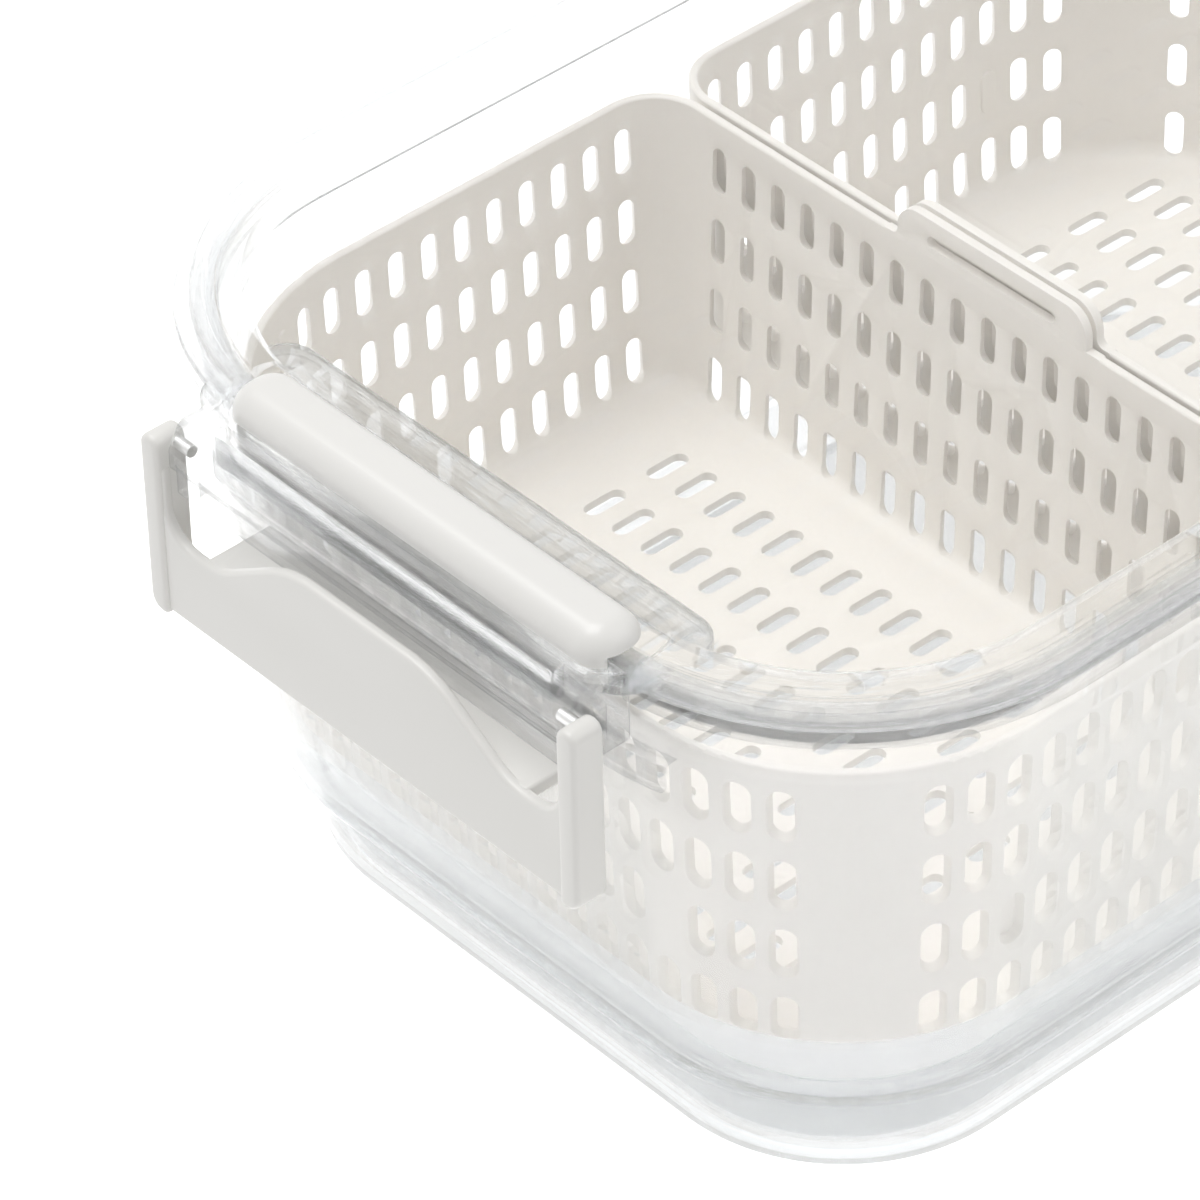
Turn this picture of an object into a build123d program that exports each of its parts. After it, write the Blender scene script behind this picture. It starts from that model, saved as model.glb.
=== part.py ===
from build123d import *
import os
from math import atan, cos, degrees, radians, sin, tan

os.makedirs("parts", exist_ok=True)

# Produce keeper: a clear container and lid, two lift-out colander baskets side by side, and a swing latch
# with a press button at each end. Millimetres, +Z up, X along the long side. The origin is the centre of
# the underside. The near end is the -X end, the front is the -Y side.

# Pair of baskets: plan outline at the rims, which every other outline is set off from
pair_half_length = 128.0
pair_half_width = 91.4
pair_corner = 48.0

# One basket
basket_gap = 1.0
basket_bottom_z = 33.6
basket_height = 66.8
basket_wall = 1.8
basket_draft = 2.23
basket_inner_corner = 12.0
basket_edge_radius = 6.0
basket_rim_round = 0.6

# Drain slots in the basket walls, which flare towards the outside, and in the floor
slot_width = 3.6
slot_height = 9.7
slot_flare = 0.9
slot_over = 0.2
slot_pitch = 8.0
slot_row_pitch = 16.1
slot_rows = 4
lowest_row_rise = 7.6
end_columns = 19
side_columns = 12
side_column_inset = 11.2
partition_columns = 19
floor_slot_length = 9.6
floor_slot_width = 3.7
floor_pitch_x = 16.0
floor_columns = 6
floor_rows = 17

# Grip tab on the partition wall
tab_half_width = 24.3
tab_rise = 7.8
tab_corner = 5.4
tab_flare = 1.6
tab_slot_length = 33.0
tab_slot_height = 2.5
tab_slot_rise = 2.9

# Container
tub_wall = 2.2
tub_draft = 5.35
seat_clearance = 0.35
mouth_rise = 18.1
step_z = 17.6
tub_edge_radius = 8.0
foot_inset = 9.9
foot_recess = 2.2
foot_ring = 4.0
floor_thickness = 2.2

# Rolled flange round the container's mouth
flange_reach = 10.9
flange_height = 3.7
flange_plate = 1.7
flange_skirt = 1.6

# Catch ledge with a down-turned lip at each end of the container
ledge_reach = 4.0
ledge_drop = 14.0
ledge_height = 7.2
ledge_plate = 2.0
ledge_lip = 1.6
ledge_end_reach = 7.0

# Lid
lid_overhang = 0.5
lid_gap = 0.4
lid_edge_height = 1.5
lid_edge_width = 3.3
crown_rise = 3.1
crown_groove_in = 5.5
crown_groove_width = 2.5
crown_groove_depth = 0.5
rim_width = 14.0
crown_round = 0.8
crown_bevel = 1.2
panel_drop = 1.3
panel_thickness = 2.2
plug_clearance = 1.6
plug_wall = 2.0
plug_drop = 9.5
plug_lip = 0.8
plug_lip_height = 1.4

# Silicone gasket round the plug wall
gasket_height = 3.6
gasket_clearance = 0.2

# Latch housing, part of the lid, at the near end
housing_reach = 12.3
housing_skirt_inset = 1.4
housing_half_width = 51.5
housing_top_drop = 1.0
housing_bottom_rise = 0.5
housing_nose_drop = 7.0
housing_wall = 2.0
housing_wall_gap = 0.55
surround_reach = 7.8
surround_end_reach = 5.5
surround_corner = 6.5
surround_front_corner = 3.0
front_bevel_depth = 3.0
front_bevel_height = 5.5
trough_inset = 4.4
trough_width = 3.2
trough_depth = 7.0
trough_end_inset = 7.5

# Press button: a long pill whose front part reaches further down
button_inset = 0.97
button_width = 13.6
button_end_inset = 2.5
button_corner = 6.0
button_rise = 4.0
button_crown = 5.4
button_clearance = 0.6
button_stroke = 1.2
button_rest_gap = 0.3
button_front_thickness = 3.2
button_front_drop = 2.0
pocket_floor = 1.3
pocket_ridge = 5.2
pocket_behind_button = 3.8
pocket_end_clearance = 3.5

# Latch: plate, two end arms and the hook bar that reaches under the ledge
latch_front_gap = 2.3
latch_drop = 38.7
plate_inset = 0.8
plate_thickness = 2.4
plate_edge_round = 0.8
plate_middle_drop = 8.0
plate_dip_drop = 19.6
plate_dip_inset = 13.4
plate_shoulder_inset = 32.9
plate_dip_round = 5.0
plate_rise_round = 12.0
plate_shoulder_round = 20.0
arm_clearance = 0.4
arm_width = 4.7
arm_depth = 7.1
arm_top_drop = 0.4
arm_below_plate = 0.8
arm_top_round = 2.2
arm_bottom_round = 3.5
arm_edge_round = 0.8
hook_clearance = 0.4
hook_thickness = 3.0
hook_end_inset = 9.5
hook_overlap = 1.2

# Hinge pins, one in each arm of a latch
pin_inset = 2.8
pin_drop = 2.9
pin_radius = 1.2
pin_clearance = 0.05
pin_in_housing = 3.5
pin_in_arm = 3.2

# A cut starts this much outside the face it opens
cut_over = 1.0

# Heights that follow
basket_rim_z = basket_bottom_z + basket_height
tab_top_z = basket_rim_z + tab_rise
mouth_z = basket_rim_z + mouth_rise
ledge_top_z = mouth_z - ledge_drop
lid_bottom_z = mouth_z + lid_gap
crown_z = lid_bottom_z + crown_rise
panel_top_z = lid_bottom_z - panel_drop
plug_bottom_z = lid_bottom_z - plug_drop
housing_top_z = crown_z - housing_top_drop
housing_bottom_z = ledge_top_z + housing_bottom_rise
housing_nose_z = mouth_z - housing_nose_drop
trough_floor_z = housing_top_z - trough_depth
button_top_z = crown_z + button_rise
button_front_z = mouth_z - button_front_drop
latch_bottom_z = mouth_z - latch_drop
plate_middle_z = mouth_z - plate_middle_drop
plate_dip_z = mouth_z - plate_dip_drop
arm_top_z = mouth_z - arm_top_drop
pin_z = mouth_z - pin_drop


# Plan outline at a given distance outside the rims of the baskets
def outline(distance):
    return RectangleRounded(
        2 * (pair_half_length + distance),
        2 * (pair_half_width + distance),
        pair_corner + distance,
    )


# Horizontal plane at a height, facing down, for shapes that taper towards the bottom
def facing_down(height):
    return Plane(origin=(0, 0, height), x_dir=(1, 0, 0), z_dir=(0, 0, -1))


# Distance of the basket wall's outside from the rim outline at a height
def basket_distance(height):
    return -(basket_rim_z - height) * tan(radians(basket_draft))


# Distance of the container wall's outside at a height, set by the baskets' seat
seat_z = basket_bottom_z + basket_edge_radius


def tub_distance(height):
    at_seat = basket_distance(seat_z) + seat_clearance + tub_wall
    return at_seat + (height - seat_z) * tan(radians(tub_draft))


# Straight prism on an outline between two heights
def prism(distance, low_z, high_z, mode=Mode.ADD):
    with BuildSketch(Plane.XY.offset(low_z)) as section:
        outline(distance)
    extrude(section.sketch, amount=high_z - low_z, mode=mode)


# Rectangular block between two corners
def block(low, high, mode=Mode.ADD):
    size = [b - a for a, b in zip(low, high)]
    with Locations(tuple((a + b) / 2 for a, b in zip(low, high))):
        Box(*size, mode=mode)


# Tapering tub with a rounded bottom edge
def tub(distance, top_z, bottom_z, edge_radius):
    with BuildPart() as shape:
        with BuildSketch(facing_down(top_z)):
            outline(distance)
        extrude(amount=top_z - bottom_z, taper=tub_draft)
        fillet(shape.edges().group_by(Axis.Z)[0], edge_radius)
    return shape.part


# Container: flange and ledges first, then the tub and its foot, then the inside
tub_shape = tub(tub_distance(mouth_z), mouth_z, step_z, tub_edge_radius)
tub_space = tub(
    tub_distance(mouth_z) - tub_wall, mouth_z, step_z + tub_wall, tub_edge_radius - tub_wall
)
floor_z = foot_recess + floor_thickness
flange_bottom_z = mouth_z - flange_height
ledge_half_width = housing_half_width + ledge_end_reach
ledge_distance = tub_distance(ledge_top_z) + ledge_reach
ledge_bottom_z = ledge_top_z - ledge_height
housing_back_x = -(pair_half_length + tub_distance(mouth_z)) - housing_wall_gap
notch_half_width = housing_half_width + arm_clearance

with BuildPart() as container:
    prism(flange_reach, flange_bottom_z, mouth_z)
    prism(flange_reach - flange_skirt, flange_bottom_z, mouth_z - flange_plate, Mode.SUBTRACT)
    with Locations((0, 0, mouth_z)):
        notch_length = 2 * (pair_half_length + flange_reach + cut_over)
        with GridLocations(notch_length, 0, 2, 1):
            Box(
                2 * (notch_length / 2 + housing_back_x + housing_wall_gap),
                2 * notch_half_width,
                2 * flange_height,
                mode=Mode.SUBTRACT,
            )
    with BuildSketch(Plane.XY.offset(ledge_bottom_z)):
        outline(ledge_distance)
        Rectangle(4 * pair_half_length, 2 * ledge_half_width, mode=Mode.INTERSECT)
    extrude(amount=ledge_height)
    with BuildSketch(Plane.XY.offset(ledge_bottom_z)):
        outline(ledge_distance - ledge_lip)
        Rectangle(4 * pair_half_length, 2 * (ledge_half_width - ledge_lip), mode=Mode.INTERSECT)
    extrude(amount=ledge_height - ledge_plate, mode=Mode.SUBTRACT)
    add(tub_shape)
    prism(-foot_inset, 0, step_z + tub_wall / 2)
    add(tub_space, mode=Mode.SUBTRACT)
    prism(-foot_inset - tub_wall, floor_z, step_z + 2 * tub_wall, Mode.SUBTRACT)
    prism(-foot_inset - foot_ring, 0, foot_recess, Mode.SUBTRACT)

# Lid: rim, recessed panel and plug wall, then the latch housing at each end
lid_distance = flange_reach + lid_overhang
recess_distance = lid_distance - rim_width
plug_distance = tub_distance(plug_bottom_z) - tub_wall - plug_clearance
panel_bottom_z = panel_top_z - panel_thickness
groove_distance = lid_distance - crown_groove_in

# Places of the housing and the button at the near end
housing_front_x = -(pair_half_length + flange_reach + housing_reach)
housing_skirt_x = housing_front_x + housing_skirt_inset
surround_front_x = housing_front_x + surround_reach
surround_half_width = housing_half_width + surround_end_reach
trough_front_x = housing_front_x + trough_inset
trough_back_x = trough_front_x + trough_width
trough_half_width = housing_half_width - trough_end_inset
button_x = -(pair_half_length + tub_distance(mouth_z)) + button_inset
button_half_length = housing_half_width - button_end_inset
button_front_back_x = button_x - button_width / 2 + button_front_thickness
pocket_front_x = button_x - button_width / 2 - button_clearance
pocket_back_x = button_x + button_width / 2 + pocket_behind_button
pocket_half_length = button_half_length + pocket_end_clearance
pocket_floor_z = lid_bottom_z + pocket_floor
pocket_length_x = pocket_back_x - pocket_front_x
ridge_inner_x = pocket_back_x + pocket_ridge
well_back_x = button_front_back_x + button_clearance
well_floor_z = button_front_z - button_stroke - button_clearance

with BuildPart() as housing:
    block(
        (surround_front_x, -surround_half_width, lid_bottom_z),
        (ridge_inner_x, surround_half_width, housing_top_z),
    )
    block(
        (pocket_back_x, -surround_half_width, panel_top_z - cut_over),
        (ridge_inner_x, surround_half_width, housing_top_z),
    )
    fillet(housing.edges().filter_by(Axis.Z).group_by(Axis.X)[-1], surround_corner)
    fillet(housing.edges().filter_by(Axis.Z).group_by(Axis.X)[0], surround_front_corner)
    block(
        (housing_skirt_x, -housing_half_width, housing_bottom_z),
        (housing_back_x, housing_half_width, housing_nose_z),
    )
    block(
        (housing_front_x, -housing_half_width, housing_nose_z),
        (housing_back_x, housing_half_width, housing_top_z),
    )
    front_edge = housing.edges().filter_by(Axis.Y).group_by(Axis.X)[0].sort_by(Axis.Z)[-1]
    front_face = housing.faces().sort_by(Axis.X)[0]
    chamfer(front_edge, front_bevel_height, front_bevel_depth, reference=front_face)

with BuildPart() as housing_cuts:
    with BuildSketch(Plane.XY.offset(pocket_floor_z)):
        with Locations(((pocket_front_x + pocket_back_x) / 2, 0)):
            RectangleRounded(pocket_length_x, 2 * pocket_half_length, button_corner + button_clearance)
    extrude(amount=crown_z)
    with BuildSketch(Plane.XY.offset(well_floor_z)):
        with Locations((button_x, 0)):
            RectangleRounded(
                button_width + 2 * button_clearance,
                2 * (button_half_length + button_clearance),
                button_corner + button_clearance,
            )
        with Locations((well_back_x - button_width, 0)):
            Rectangle(2 * button_width, 4 * button_half_length, mode=Mode.INTERSECT)
    extrude(amount=pocket_floor_z + cut_over - well_floor_z)
    block(
        (trough_front_x, -trough_half_width, trough_floor_z),
        (trough_back_x, trough_half_width, crown_z),
    )
    block(
        (housing_skirt_x + housing_wall, -button_half_length + cut_over, 0),
        (housing_back_x - housing_wall, button_half_length - cut_over, trough_floor_z - housing_wall),
    )
    bore_start_y = housing_half_width - pin_in_housing
    pin_x = housing_front_x + pin_inset
    for side in (-1, 1):
        with BuildSketch(Plane.XZ.offset(-side * bore_start_y)):
            with Locations((pin_x, pin_z)):
                Circle(pin_radius + pin_clearance)
        extrude(amount=-side * (pin_in_housing + cut_over))

with BuildPart() as lid:
    prism(lid_distance - lid_edge_width, lid_bottom_z, crown_z)
    fillet(lid.edges().group_by(Axis.Z)[-1], crown_round)
    prism(lid_distance, lid_bottom_z, lid_bottom_z + lid_edge_height)
    prism(plug_distance, plug_bottom_z, lid_bottom_z)
    prism(plug_distance + plug_lip, plug_bottom_z, plug_bottom_z + plug_lip_height)
    prism(plug_distance - plug_wall, plug_bottom_z, panel_bottom_z, Mode.SUBTRACT)
    with BuildSketch(Plane.XY.offset(crown_z)):
        outline(groove_distance)
        offset(amount=-crown_groove_width, mode=Mode.SUBTRACT)
    extrude(amount=-crown_groove_depth, mode=Mode.SUBTRACT)
    prism(recess_distance, panel_top_z, crown_z, Mode.SUBTRACT)
    with BuildSketch(facing_down(crown_z)):
        outline(recess_distance + crown_bevel)
    extrude(amount=crown_bevel, taper=45, mode=Mode.SUBTRACT)
    for end in (0, 180):
        add(housing.part.rotate(Axis.Z, end))
    for end in (0, 180):
        add(housing_cuts.part.rotate(Axis.Z, end), mode=Mode.SUBTRACT)

# Gasket: a ring in the groove between the plug's lip and the rim
gasket_bottom_z = plug_bottom_z + plug_lip_height
gasket_outer = tub_distance(gasket_bottom_z) - tub_wall - gasket_clearance

with BuildPart() as gasket:
    prism(gasket_outer, gasket_bottom_z, gasket_bottom_z + gasket_height)
    prism(plug_distance, gasket_bottom_z, gasket_bottom_z + gasket_height, Mode.SUBTRACT)


# Plan of one basket at its rim, with the large corners at the end and small ones at the partition
def basket_plan(inset):
    with BuildSketch(facing_down(basket_rim_z)) as plan:
        with Locations((-(pair_half_length + basket_gap / 2) / 2, 0)):
            Rectangle(pair_half_length - basket_gap / 2 - 2 * inset, 2 * (pair_half_width - inset))
        fillet(plan.vertices().group_by(Axis.X)[0], pair_corner - inset)
        fillet(plan.vertices().group_by(Axis.X)[-1], basket_inner_corner - inset)
    return plan.sketch


# Rows of upright drain slots along a wall. The wall's outside passes through (x, y) at the rim's height
# and faces (across, along). Each slot flares from the inside of the wall to the outside.
lean = radians(basket_draft)
flare_depth = basket_wall + slot_over
row_heights = [lowest_row_rise - basket_height + row * slot_row_pitch for row in range(slot_rows)]


def slot_cut(x, y, across, along, columns, rows, growth, depth, taper):
    outward = Vector(across * cos(lean), along * cos(lean), -sin(lean))
    start = Vector(x, y, basket_rim_z) + outward * slot_over
    with BuildSketch(Plane(origin=start, x_dir=(along, -across, 0), z_dir=-outward)) as slots:
        with Locations(*[(place, height / cos(lean)) for place in columns for height in rows]):
            SlotOverall(slot_height + 2 * growth, slot_width + 2 * growth, rotation=90)
    return extrude(slots.sketch, amount=depth, taper=taper, mode=Mode.PRIVATE)


# The lowest row also gets a straight cut that reaches through the rounded bottom edge
def wall_slots(x, y, across, along, columns):
    growth = slot_flare * (1 + slot_over / flare_depth)
    taper = degrees(atan(slot_flare / flare_depth))
    flared = slot_cut(x, y, across, along, columns, row_heights, growth, flare_depth + 2 * slot_over, taper)
    straight = slot_cut(x, y, across, along, columns, row_heights[:1], 0, basket_edge_radius, 0)
    return [flared, straight]


# Drain slots of one basket: flat walls, round corners and floor
corner_x = -(pair_half_length - pair_corner)
corner_y = pair_half_width - pair_corner
side_places = [-basket_gap / 2 - side_column_inset - slot_pitch * i for i in range(side_columns)]
end_places = [slot_pitch * (i - (end_columns - 1) / 2) for i in range(end_columns)]
partition_places = [slot_pitch * (i - (partition_columns - 1) / 2) for i in range(partition_columns)]
side_turns = [(corner_x - x) / pair_corner for x in side_places if x < corner_x]
end_turns = [(y - corner_y) / pair_corner for y in end_places if y > corner_y]
corner_directions = [(-sin(turn), cos(turn)) for turn in side_turns]
corner_directions += [(-cos(turn), sin(turn)) for turn in end_turns]
flat_side_places = [x for x in side_places if x >= corner_x]
flat_end_places = [y for y in end_places if abs(y) <= corner_y]

slot_cuts = wall_slots(-pair_half_length, 0, -1, 0, flat_end_places)
slot_cuts += wall_slots(-basket_gap / 2, 0, 1, 0, partition_places)
for side in (-1, 1):
    slot_cuts += wall_slots(0, side * pair_half_width, 0, side, [side * x for x in flat_side_places])
    for across, along in corner_directions:
        x = corner_x + pair_corner * across
        y = side * (corner_y + pair_corner * along)
        slot_cuts += wall_slots(x, y, across, side * along, [0])
floor_middle_x = -(pair_half_length + basket_gap / 2) / 2
with BuildSketch(Plane.XY.offset(basket_bottom_z - cut_over)) as floor_slots:
    with Locations((floor_middle_x, 0)):
        with GridLocations(floor_pitch_x, slot_pitch, floor_columns, floor_rows):
            SlotOverall(floor_slot_length, floor_slot_width)
slot_cuts.append(extrude(floor_slots.sketch, amount=basket_wall + 2 * cut_over))

with BuildPart() as basket_space:
    extrude(basket_plan(basket_wall), amount=basket_height - basket_wall, taper=basket_draft)
    fillet(basket_space.edges().group_by(Axis.Z)[0], basket_edge_radius - basket_wall)

with BuildPart() as basket_near:
    extrude(basket_plan(0), amount=basket_height, taper=basket_draft)
    fillet(basket_near.edges().group_by(Axis.Z)[0], basket_edge_radius)
    add(basket_space.part, mode=Mode.SUBTRACT)
    fillet(basket_near.edges().group_by(Axis.Z)[-1], basket_rim_round)
    with BuildSketch(Plane.YZ.offset(-basket_gap / 2 - basket_wall)) as tab:
        with Locations((0, (basket_rim_z + tab_top_z) / 2)):
            Rectangle(2 * tab_half_width, tab_top_z - basket_rim_z)
        with Locations((0, basket_rim_z - basket_rim_round)):
            Rectangle(2 * (tab_half_width + tab_flare + basket_wall), 2 * basket_rim_round)
        fillet(tab.vertices().group_by(Axis.Y)[-1], tab_corner)
        tab_foot = tab.vertices().filter_by_position(Axis.Y, basket_rim_z - 0.01, basket_rim_z + 0.01)
        fillet(tab_foot.filter_by_position(Axis.X, -tab_half_width, tab_half_width), tab_flare)
        with Locations((0, basket_rim_z + tab_slot_rise)):
            SlotOverall(tab_slot_length, tab_slot_height, mode=Mode.SUBTRACT)
    extrude(amount=basket_wall)
    add(slot_cuts, mode=Mode.SUBTRACT)

# Latch at the near end: the plate's top edge is high in the middle and dips beside the arms
arm_inner_y = housing_half_width + arm_clearance
arm_outer_y = arm_inner_y + arm_width
latch_front_x = housing_front_x - latch_front_gap
plate_front_x = latch_front_x + plate_inset
plate_back_x = plate_front_x + plate_thickness
plate_half_width = arm_inner_y + arm_width / 2
arm_bottom_z = latch_bottom_z - arm_below_plate
plate_dip_y = arm_inner_y - plate_dip_inset
plate_shoulder_y = arm_inner_y - plate_shoulder_inset
plate_half = [
    (plate_half_width, latch_bottom_z),
    (plate_half_width, pin_z),
    (arm_inner_y, pin_z),
    (arm_inner_y, plate_dip_z),
    (plate_dip_y, plate_dip_z),
    (plate_shoulder_y, plate_middle_z),
]
plate_rounds = (
    (arm_inner_y, plate_dip_z, plate_dip_round),
    (plate_dip_y, plate_dip_z, plate_rise_round),
    (plate_shoulder_y, plate_middle_z, plate_shoulder_round),
)
hook_top_z = ledge_bottom_z - hook_clearance
hook_tip_x = -(pair_half_length + ledge_distance) + hook_overlap
hook_half_length = housing_half_width - hook_end_inset
pin_start_y = housing_half_width - pin_in_housing
pin_end_y = arm_inner_y + pin_in_arm

with BuildPart() as arm:
    block(
        (latch_front_x, arm_inner_y, arm_bottom_z),
        (latch_front_x + arm_depth, arm_outer_y, arm_top_z),
    )
    arm_ends = arm.edges().filter_by(Axis.X)
    fillet(arm_ends.group_by(Axis.Z)[-1], arm_top_round)
    fillet(arm.edges().filter_by(Axis.X).group_by(Axis.Z)[0].sort_by(Axis.Y)[-1], arm_bottom_round)
    fillet(arm.faces().sort_by(Axis.X)[0].edges(), arm_edge_round)

with BuildPart() as latch_near:
    with BuildSketch(Plane.YZ.offset(plate_front_x)) as plate:
        with BuildLine():
            Polyline(*plate_half, *[(-y, z) for y, z in reversed(plate_half)], close=True)
        make_face()
        for place, height, radius in plate_rounds:
            at_height = plate.vertices().filter_by_position(Axis.Y, height - cut_over, height + cut_over)
            for low, high in ((-place - cut_over, -place + cut_over), (place - cut_over, place + cut_over)):
                fillet(at_height.filter_by_position(Axis.X, low, high), radius)
    extrude(amount=plate_thickness)
    fillet(latch_near.faces().sort_by(Axis.X)[0].edges(), plate_edge_round)
    add(arm.part)
    add(mirror(arm.part, about=Plane.XZ, mode=Mode.PRIVATE))
    block(
        (plate_back_x - plate_thickness / 2, -hook_half_length, hook_top_z - hook_thickness),
        (hook_tip_x, hook_half_length, hook_top_z),
    )
    for side in (-1, 1):
        with BuildSketch(Plane.XZ.offset(-side * (arm_inner_y - cut_over))):
            with Locations((pin_x, pin_z)):
                Circle(pin_radius + pin_clearance)
        extrude(amount=-side * (pin_in_arm + pin_clearance + cut_over), mode=Mode.SUBTRACT)

# Hinge pins of the near latch
with BuildPart() as pin_near_back:
    with BuildSketch(Plane.XZ.offset(-pin_start_y)):
        with Locations((pin_x, pin_z)):
            Circle(pin_radius)
    extrude(amount=-(pin_end_y - pin_start_y))

# Press button at the near end
button_bottom_z = pocket_floor_z + button_stroke + button_rest_gap

with BuildPart() as button_near:
    with BuildSketch(Plane.XY.offset(button_front_z)):
        with Locations((button_x, 0)):
            RectangleRounded(button_width, 2 * button_half_length, button_corner)
    extrude(amount=button_top_z - button_front_z)
    fillet(button_near.edges().group_by(Axis.Z)[-1], button_crown)
    block(
        (button_front_back_x, -2 * button_half_length, button_front_z - cut_over),
        (button_x + button_width, 2 * button_half_length, button_bottom_z),
        Mode.SUBTRACT,
    )

# The far end repeats the near end, turned half a turn about the upright axis
pieces = {
    "container": container.part,
    "lid": lid.part,
    "gasket": gasket.part,
    "basket_near": basket_near.part,
    "basket_far": basket_near.part.rotate(Axis.Z, 180),
    "latch_near": latch_near.part,
    "latch_far": latch_near.part.rotate(Axis.Z, 180),
    "pin_near_back": pin_near_back.part,
    "pin_near_front": mirror(pin_near_back.part, about=Plane.XZ),
    "pin_far_front": pin_near_back.part.rotate(Axis.Z, 180),
    "pin_far_back": mirror(pin_near_back.part, about=Plane.YZ),
    "button_near": button_near.part,
    "button_far": button_near.part.rotate(Axis.Z, 180),
}
for name, piece in pieces.items():
    piece.label = name
    export_step(piece, f"parts/{name}.step")
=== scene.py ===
# %% [markdown]
# # Produce keeper
# A clear plastic container with a clear lid, two white colander baskets inside it, and a white swing
# latch with a long press button at each end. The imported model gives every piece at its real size.
# Blender gives the pieces the smooth, softly rounded shape and the finish that they have in the hand.

# %% Load the frame
import math

import bpy
from mathutils import Matrix, Vector


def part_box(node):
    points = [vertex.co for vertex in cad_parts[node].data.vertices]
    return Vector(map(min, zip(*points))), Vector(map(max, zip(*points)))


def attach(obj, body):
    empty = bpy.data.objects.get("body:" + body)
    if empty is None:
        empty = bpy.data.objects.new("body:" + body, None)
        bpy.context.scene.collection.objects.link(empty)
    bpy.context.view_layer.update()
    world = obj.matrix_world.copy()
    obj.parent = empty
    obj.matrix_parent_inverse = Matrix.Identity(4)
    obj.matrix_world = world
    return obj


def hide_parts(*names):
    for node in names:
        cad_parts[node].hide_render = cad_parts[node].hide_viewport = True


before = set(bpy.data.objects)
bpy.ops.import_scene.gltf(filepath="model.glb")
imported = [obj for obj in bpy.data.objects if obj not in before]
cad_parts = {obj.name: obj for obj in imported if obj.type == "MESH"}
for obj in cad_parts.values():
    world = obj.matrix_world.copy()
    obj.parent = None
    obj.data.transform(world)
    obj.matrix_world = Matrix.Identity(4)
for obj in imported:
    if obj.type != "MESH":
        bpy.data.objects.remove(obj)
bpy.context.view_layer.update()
MM = 0.001

# %% [markdown]
# Most operators act on whatever is selected, so each step starts from an empty selection and picks
# what it needs. These small helpers do that, and they finish a piece with its modifiers applied.

# %% Helpers for selecting and finishing
def pick(piece):
    """Makes one object the only selected and active one."""
    bpy.ops.object.select_all(action="DESELECT")
    piece.select_set(True)
    bpy.context.view_layer.objects.active = piece
    return piece


def apply_modifier(piece, kind, **settings):
    """Adds one modifier with its settings and applies it."""
    pick(piece)
    modifier = piece.modifiers.new(kind.lower(), kind)
    for name, value in settings.items():
        setattr(modifier, name, value)
    bpy.ops.object.modifier_apply(modifier=modifier.name)
    return piece


def settle(piece):
    """Moves the object's place into its mesh, so that it sits untransformed at the origin."""
    pick(piece)
    bpy.ops.object.transform_apply(location=True, rotation=True, scale=True)
    return piece


def smooth(piece, degrees=35):
    """Smooth shading, with the edges sharper than the angle kept crisp."""
    pick(piece)
    bpy.ops.object.shade_smooth_by_angle(angle=math.radians(degrees))
    return piece


def outward(piece):
    """Merges doubled points and turns all faces outwards."""
    pick(piece)
    bpy.ops.object.mode_set(mode="EDIT")
    bpy.ops.mesh.select_all(action="SELECT")
    bpy.ops.mesh.remove_doubles(threshold=0.00001)
    bpy.ops.mesh.normals_make_consistent(inside=False)
    bpy.ops.object.mode_set(mode="OBJECT")
    return piece


def combine(piece, tool, operation):
    """Adds the tool's solid to the piece, or cuts it away, and deletes the tool."""
    apply_modifier(piece, "BOOLEAN", object=tool, operation=operation, solver="EXACT")
    bpy.data.objects.remove(tool)
    return piece


# %% [markdown]
# Every horizontal outline of the keeper is the baskets' outline moved in or out by some distance.
# The outline is drawn once as a closed curve. A section swept along it with a curve's bevel object
# makes a wall, a rim or a foot with perfectly even corners.

# %% Outline of the keeper
basket_low, basket_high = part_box("basket_near")
HALF_LENGTH = -basket_low.x
HALF_WIDTH = basket_high.y
CORNER = 48 * MM
CORNER_STEPS = 24


def outline_points(distance=0.0):
    """Points of the rounded outline at a distance outside the basket rims, counter-clockwise."""
    reach_x = HALF_LENGTH - CORNER
    reach_y = HALF_WIDTH - CORNER
    radius = CORNER + distance
    points = []
    for quarter, (x, y) in enumerate(((1, 1), (-1, 1), (-1, -1), (1, -1))):
        for step in range(CORNER_STEPS + 1):
            turn = math.radians(90 * quarter + 90 * step / CORNER_STEPS)
            points.append((x * reach_x + radius * math.cos(turn), y * reach_y + radius * math.sin(turn)))
    return points


def rounded(corners, steps=5):
    """Turns corners given as (x, y, radius) in millimetres into points in metres, with arcs."""
    points = []
    count = len(corners)
    for index, (x, y, radius) in enumerate(corners):
        here = Vector((x, y))
        before = Vector(corners[index - 1][:2]) - here
        after = Vector(corners[(index + 1) % count][:2]) - here
        if radius == 0:
            points.append(here * MM)
            continue
        half = before.angle(after) / 2
        reach = radius / math.tan(half)
        start = here + before.normalized() * reach
        end = here + after.normalized() * reach
        centre = here + (before.normalized() + after.normalized()).normalized() * radius / math.sin(half)
        first, last = start - centre, end - centre
        swing = first.angle_signed(last)
        for step in range(steps + 1):
            turned = Matrix.Rotation(-swing * step / steps, 2) @ first
            points.append((centre + turned) * MM)
    return points


def flat_curve(name, points, closed=True):
    """A curve of straight runs in the XY plane, through points in metres."""
    data = bpy.data.curves.new(name, "CURVE")
    data.dimensions = "2D"
    spline = data.splines.new("POLY")
    spline.points.add(len(points) - 1)
    for point, (x, y) in zip(spline.points, points):
        point.co = (x, y, 0, 1)
    spline.use_cyclic_u = closed
    piece = bpy.data.objects.new(name, data)
    bpy.context.scene.collection.objects.link(piece)
    return piece


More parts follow.
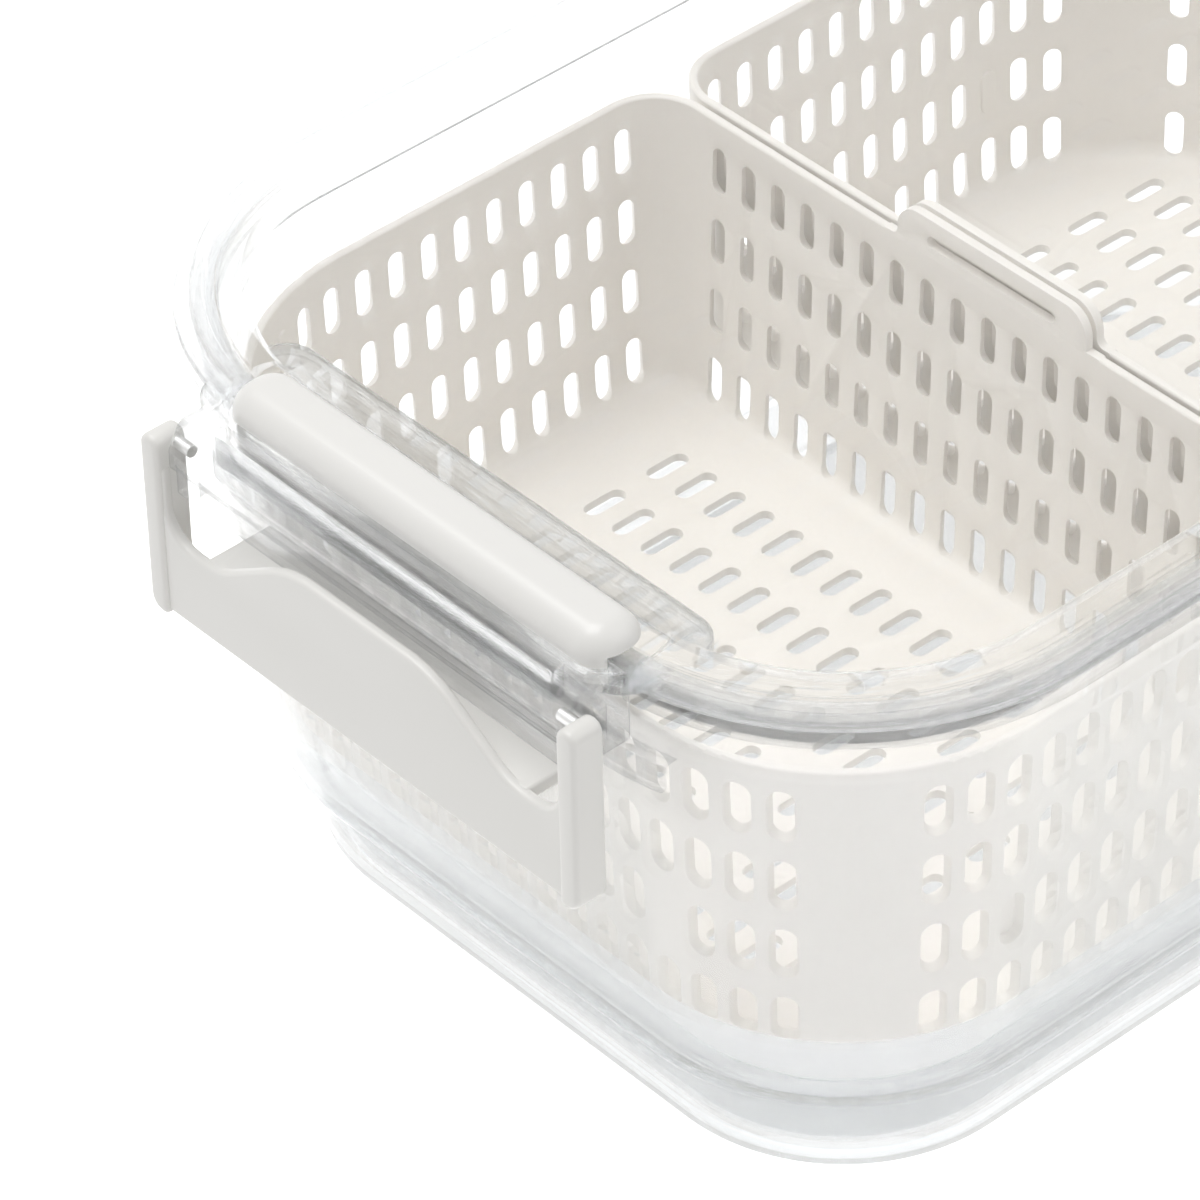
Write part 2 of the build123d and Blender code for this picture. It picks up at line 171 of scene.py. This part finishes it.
def sweep(name, section, closed=True):
    """A mesh made by sweeping a section of (distance, height) points, in metres, round the outline."""
    path = flat_curve(name, outline_points())
    path.data.dimensions = "3D"
    path.data.twist_mode = "Z_UP"
    shape = flat_curve(name + "_section", section, closed)
    path.data.bevel_mode = "OBJECT"
    path.data.bevel_object = shape
    pick(path)
    bpy.ops.object.convert(target="MESH")
    bpy.data.objects.remove(shape)
    return bpy.context.view_layer.objects.active


print("outline:", len(outline_points()), "points")

# %% [markdown]
# The container is one clear moulding. Its wall leans outwards, so the distance from the outline grows
# with the height. A helper gives that distance, and the lid and the ledges use it too. The sweep
# leaves the underside and the floor open, so a second helper closes those two loops with a face each.

# %% Sizes of the container, in millimetres
WALL = 2.2
LEAN = math.tan(math.radians(5.35))
SEAT_HEIGHT = 39.6
SEAT_DISTANCE = 0.18
MOUTH = 118.5
STEP = 17.6
FOOT = -9.9
FLANGE = 10.9
FLANGE_LIP = 1.6


def wall_distance(height):
    """Distance of the container's outer wall from the outline at a height, in millimetres."""
    return SEAT_DISTANCE + (height - SEAT_HEIGHT) * LEAN


def fill_loops(piece, heights):
    """Closes the open loops of a swept shell at the given heights."""
    pick(piece)
    for height in heights:
        bpy.ops.object.mode_set(mode="EDIT")
        bpy.ops.mesh.select_mode(type="EDGE")
        bpy.ops.mesh.select_all(action="DESELECT")
        bpy.ops.mesh.select_non_manifold(extend=False)
        bpy.ops.object.mode_set(mode="OBJECT")
        for edge in piece.data.edges:
            levels = [piece.data.vertices[index].co.z for index in edge.vertices]
            if any(abs(level - height * MM) > 0.0002 for level in levels):
                edge.select = False
        bpy.ops.object.mode_set(mode="EDIT")
        bpy.ops.mesh.edge_face_add()
        bpy.ops.object.mode_set(mode="OBJECT")
    return piece


print("wall at the seat and the mouth:", wall_distance(SEAT_HEIGHT), wall_distance(MOUTH))

# %% [markdown]
# The section of the shell runs from the underside, up the outside over the foot, the step and the
# leaning wall to the rolled flange, and back down the inside. One sweep keeps the wall's thickness
# even all the way round. Each corner has a small radius, because the radii are what catch the light.

# %% Sweep the container's shell
UNDERSIDE = 2.2
FLOOR = 4.4
shell_section = [
    (FOOT - 4.0, UNDERSIDE, 0),
    (FOOT - 4.0, 0, 0.6),
    (FOOT, 0, 1.0),
    (FOOT, STEP, 1.2),
    (wall_distance(STEP), STEP, 8.0),
    (wall_distance(MOUTH - 1.7), MOUTH - 1.7, 0.8),
    (FLANGE - FLANGE_LIP, MOUTH - 1.7, 0.5),
    (FLANGE - FLANGE_LIP, MOUTH - 3.7, 0.4),
    (FLANGE, MOUTH - 3.7, 0.6),
    (FLANGE, MOUTH, 1.0),
    (wall_distance(MOUTH) - WALL, MOUTH, 0.7),
    (wall_distance(STEP + WALL) - WALL, STEP + WALL, 5.8),
    (FOOT - WALL, STEP + WALL, 1.0),
    (FOOT - WALL, FLOOR, 1.4),
    (FOOT - WALL - 6.0, FLOOR, 0),
]
clear_container = sweep("clear_container", rounded(shell_section, 6), closed=False)
outward(fill_loops(clear_container, (UNDERSIDE, FLOOR)))
print("container shell:", len(clear_container.data.polygons), "faces")


# %% [markdown]
# Each end wall of the container carries the ledge that the latch hooks under: a short shelf with a
# lip turned down. It follows the same outline, so it is swept too, kept only where the end is, and
# joined to the wall by a boolean. The flange is cut away where the lid's latch housing comes down.

# %% Catch ledges and notches
LEDGE_TOP = 104.5
LEDGE_HEIGHT = 7.2
LEDGE_ROOT = wall_distance(LEDGE_TOP) - WALL / 2
LEDGE_REACH = wall_distance(LEDGE_TOP) + 4.0
LEDGE_HALF = 58.5
NOTCH_HALF = 51.9


def across(end, low_x, high_x):
    """The two X values at one end of the keeper, in rising order."""
    return sorted((end * low_x, end * high_x))


def slab(name, low, high, bevel=0.0):
    """A block between two corners, in millimetres, with its edges rounded by a bevel modifier."""
    bpy.ops.object.select_all(action="DESELECT")
    centre = [(a + b) / 2 * MM for a, b in zip(low, high)]
    bpy.ops.mesh.primitive_cube_add(size=1, location=centre)
    piece = bpy.context.active_object
    piece.name = name
    piece.scale = [(b - a) * MM for a, b in zip(low, high)]
    settle(piece)
    if bevel:
        apply_modifier(piece, "BEVEL", width=bevel * MM, segments=4, limit_method="NONE")
    return piece


ledge_section = [
    (LEDGE_ROOT, LEDGE_TOP, 0),
    (LEDGE_ROOT, LEDGE_TOP - 2.0, 0),
    (LEDGE_REACH - 1.6, LEDGE_TOP - 2.0, 0.5),
    (LEDGE_REACH - 1.6, LEDGE_TOP - LEDGE_HEIGHT, 0.3),
    (LEDGE_REACH, LEDGE_TOP - LEDGE_HEIGHT, 0.4),
    (LEDGE_REACH, LEDGE_TOP, 1.2),
]
for end in (-1, 1):
    ledge = outward(sweep("ledge", rounded(ledge_section, 4)))
    keep_x = across(end, 100, 150)
    keep = slab("keep", (keep_x[0], -LEDGE_HALF, 80), (keep_x[1], LEDGE_HALF, 120))
    combine(ledge, keep, "INTERSECT")
    combine(clear_container, ledge, "UNION")
    notch_x = across(end, 135.9, 145)
    notch = slab("notch", (notch_x[0], -NOTCH_HALF, 110), (notch_x[1], NOTCH_HALF, 125))
    combine(clear_container, notch, "DIFFERENCE")
smooth(clear_container, 30)
print("container:", len(clear_container.data.polygons), "faces")

# %% [markdown]
# The lid is swept the same way: a stepped crown round the edge, a recessed flat panel and the plug
# wall that goes down into the mouth. Even the shallow groove in the crown is in the section, because
# clear plastic shows a groove by its outline and by the light it bends.

# %% Sweep the lid
RIM = 11.4
CROWN = 122.0
LID_UNDERSIDE = 118.9
PANEL = 117.6
PANEL_UNDERSIDE = 115.4
PLUG_FOOT = 109.4
PLUG = wall_distance(PLUG_FOOT) - WALL - 1.6
RECESS = RIM - 14.0
lid_section = [
    (RECESS - 8.0, PANEL_UNDERSIDE, 0),
    (PLUG - 2.0, PANEL_UNDERSIDE, 0.8),
    (PLUG - 2.0, PLUG_FOOT, 0.5),
    (PLUG + 0.8, PLUG_FOOT, 0.4),
    (PLUG + 0.8, 110.8, 0.2),
    (PLUG, 110.8, 0.3),
    (PLUG, LID_UNDERSIDE, 0.6),
    (RIM, LID_UNDERSIDE, 0.4),
    (RIM, LID_UNDERSIDE + 1.5, 0.6),
    (RIM - 3.3, LID_UNDERSIDE + 1.5, 0.4),
    (RIM - 3.3, CROWN, 0.9),
    (RIM - 5.5, CROWN, 0.25),
    (RIM - 5.8, CROWN - 0.5, 0.25),
    (RIM - 7.7, CROWN - 0.5, 0.25),
    (RIM - 8.0, CROWN, 0.25),
    (RECESS + 1.7, CROWN, 0.8),
    (RECESS, CROWN - 1.7, 0.8),
    (RECESS, PANEL, 1.0),
    (RECESS - 8.0, PANEL, 0),
]
clear_lid = sweep("clear_lid", rounded(lid_section, 4), closed=False)
outward(fill_loops(clear_lid, (PANEL_UNDERSIDE, PANEL)))
print("lid shell:", len(clear_lid.data.polygons), "faces")

# %% [markdown]
# The housings and latches are straight shapes with rounded corners and edges. A 2D curve that is
# filled, extruded and bevelled gives both roundings in one go, and no edge has to be picked by hand.
# The curve is drawn flat, turned upright where it has to be, and converted to a mesh.

# %% Helpers for prisms with rounded edges
TURNS = {"Z": (0, 0, 0), "Y": (math.pi / 2, 0, 0), "X": (math.pi / 2, 0, math.pi / 2)}


def prism(name, corners, low, high, edge, along="Z"):
    """A prism on (x, y, radius) corners in millimetres, its edges rounded by the curve's own bevel.

    Prisms along Y have their corners in the XZ plane, and prisms along X in the YZ plane.
    """
    piece = flat_curve(name, rounded(corners, 6))
    piece.data.fill_mode = "BOTH"
    piece.data.extrude = ((high - low) / 2 - edge) * MM
    piece.data.bevel_depth = edge * MM
    piece.data.bevel_resolution = 3
    piece.data.offset = -edge * MM
    piece.rotation_euler = TURNS[along]
    piece.location["XYZ".index(along)] = (low + high) / 2 * MM
    pick(piece)
    bpy.ops.object.convert(target="MESH")
    return outward(settle(piece))


def rectangle(end, low_x, high_x, half_width, inner_radius, outer_radius):
    """Corners of a rectangle at one end, with one radius on each of its long sides."""
    return [
        (end * low_x, -end * half_width, inner_radius),
        (end * high_x, -end * half_width, outer_radius),
        (end * high_x, end * half_width, outer_radius),
        (end * low_x, end * half_width, inner_radius),
    ]


# %% [markdown]
# At each end the lid carries a latch housing: a block over the hinge, a surround with rounded corners
# round the button, and a low ridge on its inner side. Booleans join them to the lid and then hollow
# them out with the button's pocket and well, a trough in front, and a hollow under the block.

# %% Latch housings
HOUSING_TOP = 121.0
HOUSING_FOOT = 105.0
HOUSING_BACK = 136.12
HOUSING_FRONT = 151.2
HOUSING_HALF = 51.5
SURROUND_HALF = 57.0
RIDGE = 118.6
POCKET = 123.8
POCKET_FRONT = 142.0
POCKET_RADIUS = 6.6
for end in (-1, 1):
    profile = [
        (HOUSING_BACK, HOUSING_FOOT, 0.6),
        (149.8, HOUSING_FOOT, 0.6),
        (149.8, 111.5, 0.4),
        (HOUSING_FRONT, 111.5, 0.6),
        (HOUSING_FRONT, HOUSING_TOP - 5.5, 2.0),
        (148.2, HOUSING_TOP, 2.0),
        (HOUSING_BACK, HOUSING_TOP, 0.6),
    ]
    profile = [(end * x, z, radius) for x, z, radius in profile]
    housing = prism("housing", profile, -HOUSING_HALF, HOUSING_HALF, 0.5, along="Y")
    combine(clear_lid, housing, "UNION")
    surround = rectangle(end, RIDGE, 143.4, SURROUND_HALF, 6.5, 8.0)
    combine(clear_lid, prism("surround", surround, LID_UNDERSIDE, HOUSING_TOP + 0.02, 0.7), "UNION")
    ridge = rectangle(end, RIDGE, POCKET + 1.0, SURROUND_HALF, 6.5, 0.8)
    combine(clear_lid, prism("ridge", ridge, PANEL - 0.8, HOUSING_TOP + 0.01, 0.7), "UNION")
    pocket = rectangle(end, POCKET, POCKET_FRONT, 52.5, POCKET_RADIUS, POCKET_RADIUS)
    combine(clear_lid, prism("pocket", pocket, 120.2, 130, 0.8), "DIFFERENCE")
    well = rectangle(end, 127.2, POCKET_FRONT, 49.6, POCKET_RADIUS, POCKET_RADIUS)
    well = prism("well", well, 114.7, 124, 0.4)
    keep_x = across(end, 137.6, 150)
    combine(well, slab("keep", (keep_x[0], -60, 100), (keep_x[1], 60, 130)), "INTERSECT")
    combine(clear_lid, well, "DIFFERENCE")
    trough_x = across(end, 143.6, 146.8)
    trough = slab("trough", (trough_x[0], -44.0, 114.0), (trough_x[1], 44.0, 124), 0.8)
    combine(clear_lid, trough, "DIFFERENCE")
    hollow_x = across(end, 138.1, 147.8)
    hollow = slab("hollow", (hollow_x[0], -48.0, 100.0), (hollow_x[1], 48.0, 112.0), 0.6)
    combine(clear_lid, hollow, "DIFFERENCE")
smooth(clear_lid, 30)
print("lid:", len(clear_lid.data.polygons), "faces")

# %% [markdown]
# A latch is a thin plate between two thicker arms that reach up to the hinge pins. The plate's top edge
# is high in the middle and dips beside each arm. A bar behind the plate hooks under the ledge. Large
# radii at the corners of a simple outline give the plate its curve, with no points to place by hand.

# %% Swing latches
DIP = 96.6
MIDDLE = 108.9
PLATE_FOOT = 79.8
PLATE_SHOULDER = 112.0
ARM_FOOT = 79.0
ARM_TOP = 118.1
ARM_INNER = 51.9
ARM_OUTER = 56.6
HOOK_HALF = 42.0
plate_half = [
    (54.6, PLATE_FOOT, 1.3),
    (54.6, PLATE_SHOULDER, 1.3),
    (51.6, PLATE_SHOULDER, 1.3),
    (51.6, DIP, 7.0),
    (38.2, DIP, 14.0),
    (18.8, MIDDLE, 22.0),
]
plate_corners = plate_half + [(-y, z, radius) for y, z, radius in reversed(plate_half)]
latches = {}
for name, end in (("latch_near", -1), ("latch_far", 1)):
    plate_x = across(end, 150.3, 152.7)
    latch = prism(name + "_smooth", plate_corners, *plate_x, 0.9, along="X")
    for side in (-1, 1):
        arm_x = across(end, 146.4, 153.5)
        arm_corners = [
            (side * ARM_INNER, ARM_FOOT, 1.3),
            (side * ARM_OUTER, ARM_FOOT, 3.2),
            (side * ARM_OUTER, ARM_TOP, 2.2),
            (side * ARM_INNER, ARM_TOP, 2.2),
        ]
        combine(latch, prism("arm", arm_corners, *arm_x, 1.1, along="X"), "UNION")
    hook_x = across(end, 137.06, 151.5)
    hook = slab("hook", (hook_x[0], -HOOK_HALF, 93.9), (hook_x[1], HOOK_HALF, 96.9), 0.6)
    combine(latch, hook, "UNION")
    latches[name] = smooth(latch, 30)
    print(name, len(latch.data.polygons), "faces")

# %% [markdown]
# The baskets, buttons and gasket have the right shape in the model already. A copy of each is merged,
# so that its curved walls can be shaded smoothly, and the baskets' edges get a small round.

# %% Smooth copies of the model's own pieces
def rounded_copy(node, width):
    """A merged copy of a model piece, with its sharp edges rounded a little."""
    pick(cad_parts[node])
    bpy.ops.object.duplicate()
    piece = bpy.context.active_object
    piece.name = node + "_smooth"
    pick(piece)
    bpy.ops.object.mode_set(mode="EDIT")
    bpy.ops.mesh.select_all(action="SELECT")
    bpy.ops.mesh.remove_doubles(threshold=0.000002)
    bpy.ops.mesh.dissolve_limited(angle_limit=math.radians(0.5))
    bpy.ops.object.mode_set(mode="OBJECT")
    if width:
        apply_modifier(
            piece, "BEVEL", width=width * MM, segments=2, limit_method="ANGLE",
            angle_limit=math.radians(40), use_clamp_overlap=True,
        )
    return smooth(piece, 35)


BASKETS = ("basket_near", "basket_far")
BUTTONS = ("button_near", "button_far")
copies = {name: rounded_copy(name, 0.25) for name in BASKETS}
copies.update(latches)
copies.update({name: rounded_copy(name, 0) for name in BUTTONS + ("gasket",)})
for name, piece in copies.items():
    print(name, len(piece.data.polygons), "faces")

# %% [markdown]
# Two finishes make the whole keeper. The white parts are moulded polypropylene: warm white, a soft
# gloss and the faint waviness of a moulded skin. The clear parts are a hard clear plastic that bends
# light a little more than water does, so its edges show and its flat walls almost vanish.

# %% Moulded skin, used by both finishes
def moulded_skin():
    """A node group: slow waviness and fine grain as a normal, and a mask for gloss changes."""
    group = bpy.data.node_groups.new("moulded skin", "ShaderNodeTree")
    face = group.interface
    for name, value in (("Wave Scale", 30.0), ("Wave Depth", 0.05), ("Grain Scale", 900.0)):
        socket = face.new_socket(name, in_out="INPUT", socket_type="NodeSocketFloat")
        socket.default_value = value
    face.new_socket("Normal", in_out="OUTPUT", socket_type="NodeSocketVector")
    face.new_socket("Mask", in_out="OUTPUT", socket_type="NodeSocketFloat")
    nodes, links = group.nodes, group.links
    inputs = nodes.new("NodeGroupInput")
    outputs = nodes.new("NodeGroupOutput")
    place = nodes.new("ShaderNodeTexCoord")
    wave = nodes.new("ShaderNodeTexNoise")
    wave.inputs["Detail"].default_value = 2.0
    grain = nodes.new("ShaderNodeTexNoise")
    grain.inputs["Detail"].default_value = 3.0
    mix = nodes.new("ShaderNodeMath")
    mix.operation = "MULTIPLY_ADD"
    mix.inputs[1].default_value = 0.04
    bump = nodes.new("ShaderNodeBump")
    bump.inputs["Distance"].default_value = 0.0006
    links.new(place.outputs["Object"], wave.inputs["Vector"])
    links.new(place.outputs["Object"], grain.inputs["Vector"])
    links.new(inputs.outputs["Wave Scale"], wave.inputs["Scale"])
    links.new(inputs.outputs["Grain Scale"], grain.inputs["Scale"])
    links.new(grain.outputs["Fac"], mix.inputs[0])
    links.new(wave.outputs["Fac"], mix.inputs[2])
    links.new(mix.outputs["Value"], bump.inputs["Height"])
    links.new(inputs.outputs["Wave Depth"], bump.inputs["Strength"])
    links.new(bump.outputs["Normal"], outputs.inputs["Normal"])
    links.new(wave.outputs["Fac"], outputs.inputs["Mask"])
    return group


SKIN = moulded_skin()


def moulded(name, wave_scale, wave_depth, glossy, dull):
    """A material with the moulded skin, whose roughness drifts between glossy and dull."""
    material = bpy.data.materials.new(name)
    material.use_nodes = True
    nodes, links = material.node_tree.nodes, material.node_tree.links
    shader = nodes["Principled BSDF"]
    skin = nodes.new("ShaderNodeGroup")
    skin.node_tree = SKIN
    skin.inputs["Wave Scale"].default_value = wave_scale
    skin.inputs["Wave Depth"].default_value = wave_depth
    gloss = nodes.new("ShaderNodeMapRange")
    gloss.inputs["To Min"].default_value = glossy
    gloss.inputs["To Max"].default_value = dull
    links.new(skin.outputs["Mask"], gloss.inputs["Value"])
    links.new(gloss.outputs["Result"], shader.inputs["Roughness"])
    links.new(skin.outputs["Normal"], shader.inputs["Normal"])
    return material, shader, skin


print("shared skin:", [socket.name for socket in SKIN.interface.items_tree])

# %% [markdown]
# The white parts differ only in shade and gloss, so one helper makes them all. The skin's mask drifts
# between two near shades, since a perfectly even white looks drawn rather than moulded. The hinge pins
# are plain steel, made by the same helper with the metal turned on.

# %% White parts and steel pins
def plastic(name, color, shade, roughness, wave_depth):
    """White moulded plastic: two near shades that drift into each other and an even soft gloss."""
    material, shader, skin = moulded(name, 30.0, wave_depth, roughness - 0.04, roughness + 0.04)
    nodes, links = material.node_tree.nodes, material.node_tree.links
    tint = nodes.new("ShaderNodeMix")
    tint.data_type = "RGBA"
    tint.inputs["A"].default_value = (*color, 1)
    tint.inputs["B"].default_value = (*shade, 1)
    links.new(skin.outputs["Mask"], tint.inputs["Factor"])
    links.new(tint.outputs["Result"], shader.inputs["Base Color"])
    shader.inputs["IOR"].default_value = 1.49
    return material


basket_white = plastic("basket_white", (0.93, 0.90, 0.85), (0.91, 0.88, 0.83), 0.38, 0.04)
latch_white = plastic("latch_white", (0.78, 0.77, 0.745), (0.76, 0.75, 0.72), 0.34, 0.03)
button_white = plastic("button_white", (0.80, 0.79, 0.765), (0.785, 0.775, 0.75), 0.30, 0.03)
pin_steel = plastic("pin_steel", (0.75, 0.75, 0.74), (0.7, 0.7, 0.69), 0.35, 0.05)
pin_steel.node_tree.nodes["Principled BSDF"].inputs["Metallic"].default_value = 1.0
print("white and steel:", basket_white.name, latch_white.name, button_white.name, pin_steel.name)

# %% [markdown]
# A thin clear wall that is glass all over darkens and doubles whatever stands behind it. Here the wall
# keeps its glass where the eye meets it at a slant or where the lid's crown is thick, and Alpha thins it
# out elsewhere. Layer Weight gives the slant. The height gives the lid's crown, and on the container a
# painted shade that darkens it towards its foot. Light Path lets shadow and bounced light through, so
# that the baskets inside stay white.

# %% Clear parts
def clear_plastic(name, color, roughness, wave_depth, clearness, flat_body, thickness_and_shade_from, thickness_and_shade_to):
    """Clear moulded plastic, with a faint cool tint and slow waves in its surface.

    Shadow and bounced light pass almost freely, so the pieces inside stay bright. The eye sees little
    of a wall that it meets squarely, more of one that it meets at a slant, and about half a body in a
    band of heights. On the lid that band is its thick crown. On the container it is painted shade that
    darkens it towards its foot. That half body grows from none between the two given heights.
    """
    material, shader, _ = moulded(name, 22.0, wave_depth, roughness, roughness + 0.02)
    nodes, links = material.node_tree.nodes, material.node_tree.links
    shader.inputs["Base Color"].default_value = (*color, 1)
    shader.inputs["Transmission Weight"].default_value = clearness
    shader.inputs["IOR"].default_value = 1.38
    grazing = nodes.new("ShaderNodeLayerWeight")
    grazing.inputs["Blend"].default_value = 0.5
    edge_body = nodes.new("ShaderNodeMapRange")
    edge_body.inputs["From Min"].default_value = 0.46
    edge_body.inputs["From Max"].default_value = 0.95
    edge_body.inputs["To Min"].default_value = flat_body
    edge_body.inputs["To Max"].default_value = 0.9
    place = nodes.new("ShaderNodeTexCoord")
    axes = nodes.new("ShaderNodeSeparateXYZ")
    # Between the two heights the glass gains up to half a body. On the lid that is its thick crown; on
    # the container it is painted shade that darkens it towards its foot.
    thickness_and_shade_body = nodes.new("ShaderNodeMapRange")
    thickness_and_shade_body.inputs["From Min"].default_value = thickness_and_shade_from
    thickness_and_shade_body.inputs["From Max"].default_value = thickness_and_shade_to
    thickness_and_shade_body.inputs["To Max"].default_value = 0.5
    both = nodes.new("ShaderNodeMath")
    both.operation = "MAXIMUM"
    rays = nodes.new("ShaderNodeLightPath")
    unseen = nodes.new("ShaderNodeMath")
    unseen.operation = "MAXIMUM"
    body = nodes.new("ShaderNodeMix")
    body.inputs["B"].default_value = 0.06
    links.new(grazing.outputs["Facing"], edge_body.inputs["Value"])
    links.new(place.outputs["Object"], axes.inputs["Vector"])
    links.new(axes.outputs["Z"], thickness_and_shade_body.inputs["Value"])
    links.new(edge_body.outputs["Result"], both.inputs[0])
    links.new(thickness_and_shade_body.outputs["Result"], both.inputs[1])
    links.new(rays.outputs["Is Shadow Ray"], unseen.inputs[0])
    links.new(rays.outputs["Is Diffuse Ray"], unseen.inputs[1])
    links.new(unseen.outputs["Value"], body.inputs["Factor"])
    links.new(both.outputs["Value"], body.inputs["A"])
    links.new(body.outputs["Result"], shader.inputs["Alpha"])
    return material


# The container's grey tint shows through the body that grows below 34 mm. There it is painted shade that
# darkens the container towards its foot.
clear_shell = clear_plastic("clear_shell", (0.53, 0.56, 0.58), 0.0, 0.12, 0.95, 0.12, 0.034, 0.018)
clear_top = clear_plastic("clear_top", (0.74, 0.76, 0.775), 0.0, 0.14, 0.95, 0.08, 0.1178, 0.1188)
clear_seal = clear_plastic("clear_seal", (0.95, 0.95, 0.94), 0.25, 0.1, 0.7, 0.15, 0.2, 0.3)
print("clear:", clear_shell.name, clear_top.name, clear_seal.name)

# %% [markdown]
# The model's joints move bodies, so each new piece is told which body it rides on, and the model piece
# that it stands in for is hidden. The gasket rides with the lid. The pins keep the shape that they
# have in the model and only take on the steel.

# %% Put the pieces on their bodies
def finish_with(piece, material):
    """Gives a piece one material in place of what it has."""
    piece.data.materials.clear()
    piece.data.materials.append(material)


SLOTS = {
    "basket": ("white_basket", basket_white),
    "latch": ("white_latch", latch_white),
    "button": ("white_button", button_white),
    "gasket": ("seal", clear_seal),
}
for name, piece in copies.items():
    slot, material = SLOTS[name.split("_")[0]]
    finish_with(piece, material)
    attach(piece, "lid" if name == "gasket" else name)
    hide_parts(name)
for piece, body, slot, material in (
    (clear_container, "container", "clear_shell", clear_shell),
    (clear_lid, "lid", "clear_lid", clear_top),
):
    finish_with(piece, material)
    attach(piece, body)
    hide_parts(body)
for name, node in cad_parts.items():
    if name.startswith("pin"):
        for place in node.material_slots:
            place.material = pin_steel
print("pieces placed:", sorted(copies) + ["clear_container", "clear_lid"])

# %% [markdown]
# The photograph was taken from above the near left corner with a long lens. The camera's place and
# turn come from lining up the grid of drain slots, and the lens from its 36 mm wide frame.

# %% Camera
CAMERA_PLACE = Vector((-0.73908, -0.74057, 0.89001))
LOOK_TURN = math.radians(49.102)
LOOK_DOWN = math.radians(39.500)
LOOK_ROLL = math.radians(-1.570)
ahead = Vector(
    (
        math.cos(LOOK_TURN) * math.cos(LOOK_DOWN),
        math.sin(LOOK_TURN) * math.cos(LOOK_DOWN),
        -math.sin(LOOK_DOWN),
    )
)
level = Vector((math.sin(LOOK_TURN), -math.cos(LOOK_TURN), 0))
above = level.cross(ahead)
right = math.cos(LOOK_ROLL) * level + math.sin(LOOK_ROLL) * above
up = math.cos(LOOK_ROLL) * above - math.sin(LOOK_ROLL) * level
camera_data = bpy.data.cameras.new("camera")
camera_data.sensor_width = 36
camera_data.lens = 216.84
camera = bpy.data.objects.new("camera", camera_data)
bpy.context.scene.collection.objects.link(camera)
turned = Matrix((right, up, -ahead)).transposed()
camera.matrix_world = Matrix.Translation(CAMERA_PLACE) @ turned.to_4x4()
camera_data.clip_start = 0.05
camera_data.clip_end = 50
bpy.context.scene.camera = camera
print("camera:", [round(value, 3) for value in camera.location], "lens", camera_data.lens)

# %% [markdown]
# The photograph has a bare white ground and no hard shadow. The floor and the world look fully white
# to the eye and in reflections, but Light Path dims them for bounced light. So the keeper is lit by
# two large soft lamps, and the white parts keep their shading on white.

# %% Floor, world and lights
def white_for_eye(material, color):
    """A matt floor that looks white by itself, but adds no light of its own to what stands on it."""
    material.use_nodes = True
    nodes, links = material.node_tree.nodes, material.node_tree.links
    shader = nodes["Principled BSDF"]
    shader.inputs["Base Color"].default_value = (*color, 1)
    shader.inputs["Roughness"].default_value = 0.9
    shader.inputs["Specular IOR Level"].default_value = 0.0
    rays = nodes.new("ShaderNodeLightPath")
    lift = nodes.new("ShaderNodeMapRange")
    lift.inputs["To Min"].default_value = 0.8
    lift.inputs["To Max"].default_value = 0.0
    links.new(rays.outputs["Is Diffuse Ray"], lift.inputs["Value"])
    shader.inputs["Emission Color"].default_value = (1, 1, 1, 1)
    links.new(lift.outputs["Result"], shader.inputs["Emission Strength"])


bpy.ops.object.select_all(action="DESELECT")
bpy.ops.mesh.primitive_plane_add(size=12, location=(0, 0, -0.0002))
floor = bpy.context.active_object
floor.name = "floor"
floor_white = bpy.data.materials.new("floor_white")
white_for_eye(floor_white, (0.9, 0.9, 0.9))
finish_with(floor, floor_white)

world = bpy.data.worlds.new("studio")
bpy.context.scene.world = world
world.use_nodes = True
sky = world.node_tree
background = sky.nodes["Background"]
rays = sky.nodes.new("ShaderNodeLightPath")
strength = sky.nodes.new("ShaderNodeMapRange")
strength.inputs["To Min"].default_value = 1.0
strength.inputs["To Max"].default_value = 0.46
sky.links.new(rays.outputs["Is Diffuse Ray"], strength.inputs["Value"])
sky.links.new(strength.outputs["Result"], background.inputs["Strength"])
background.inputs["Color"].default_value = (1, 1, 1, 1)


def soft_light(name, place, size, power):
    """A square area light that faces the keeper's middle."""
    data = bpy.data.lights.new(name, "AREA")
    data.size = size
    data.energy = power
    lamp = bpy.data.objects.new(name, data)
    bpy.context.scene.collection.objects.link(lamp)
    aim = Vector((0, 0, 0.06)) - Vector(place)
    lamp.matrix_world = Matrix.Translation(place) @ aim.to_track_quat("-Z", "Y").to_matrix().to_4x4()
    return lamp


soft_light("key", (-0.3, 0.4, 1.7), 1.2, 18)
soft_light("fill", (0.9, -1.2, 1.1), 1.2, 4)
bpy.context.scene.view_settings.view_transform = "Standard"
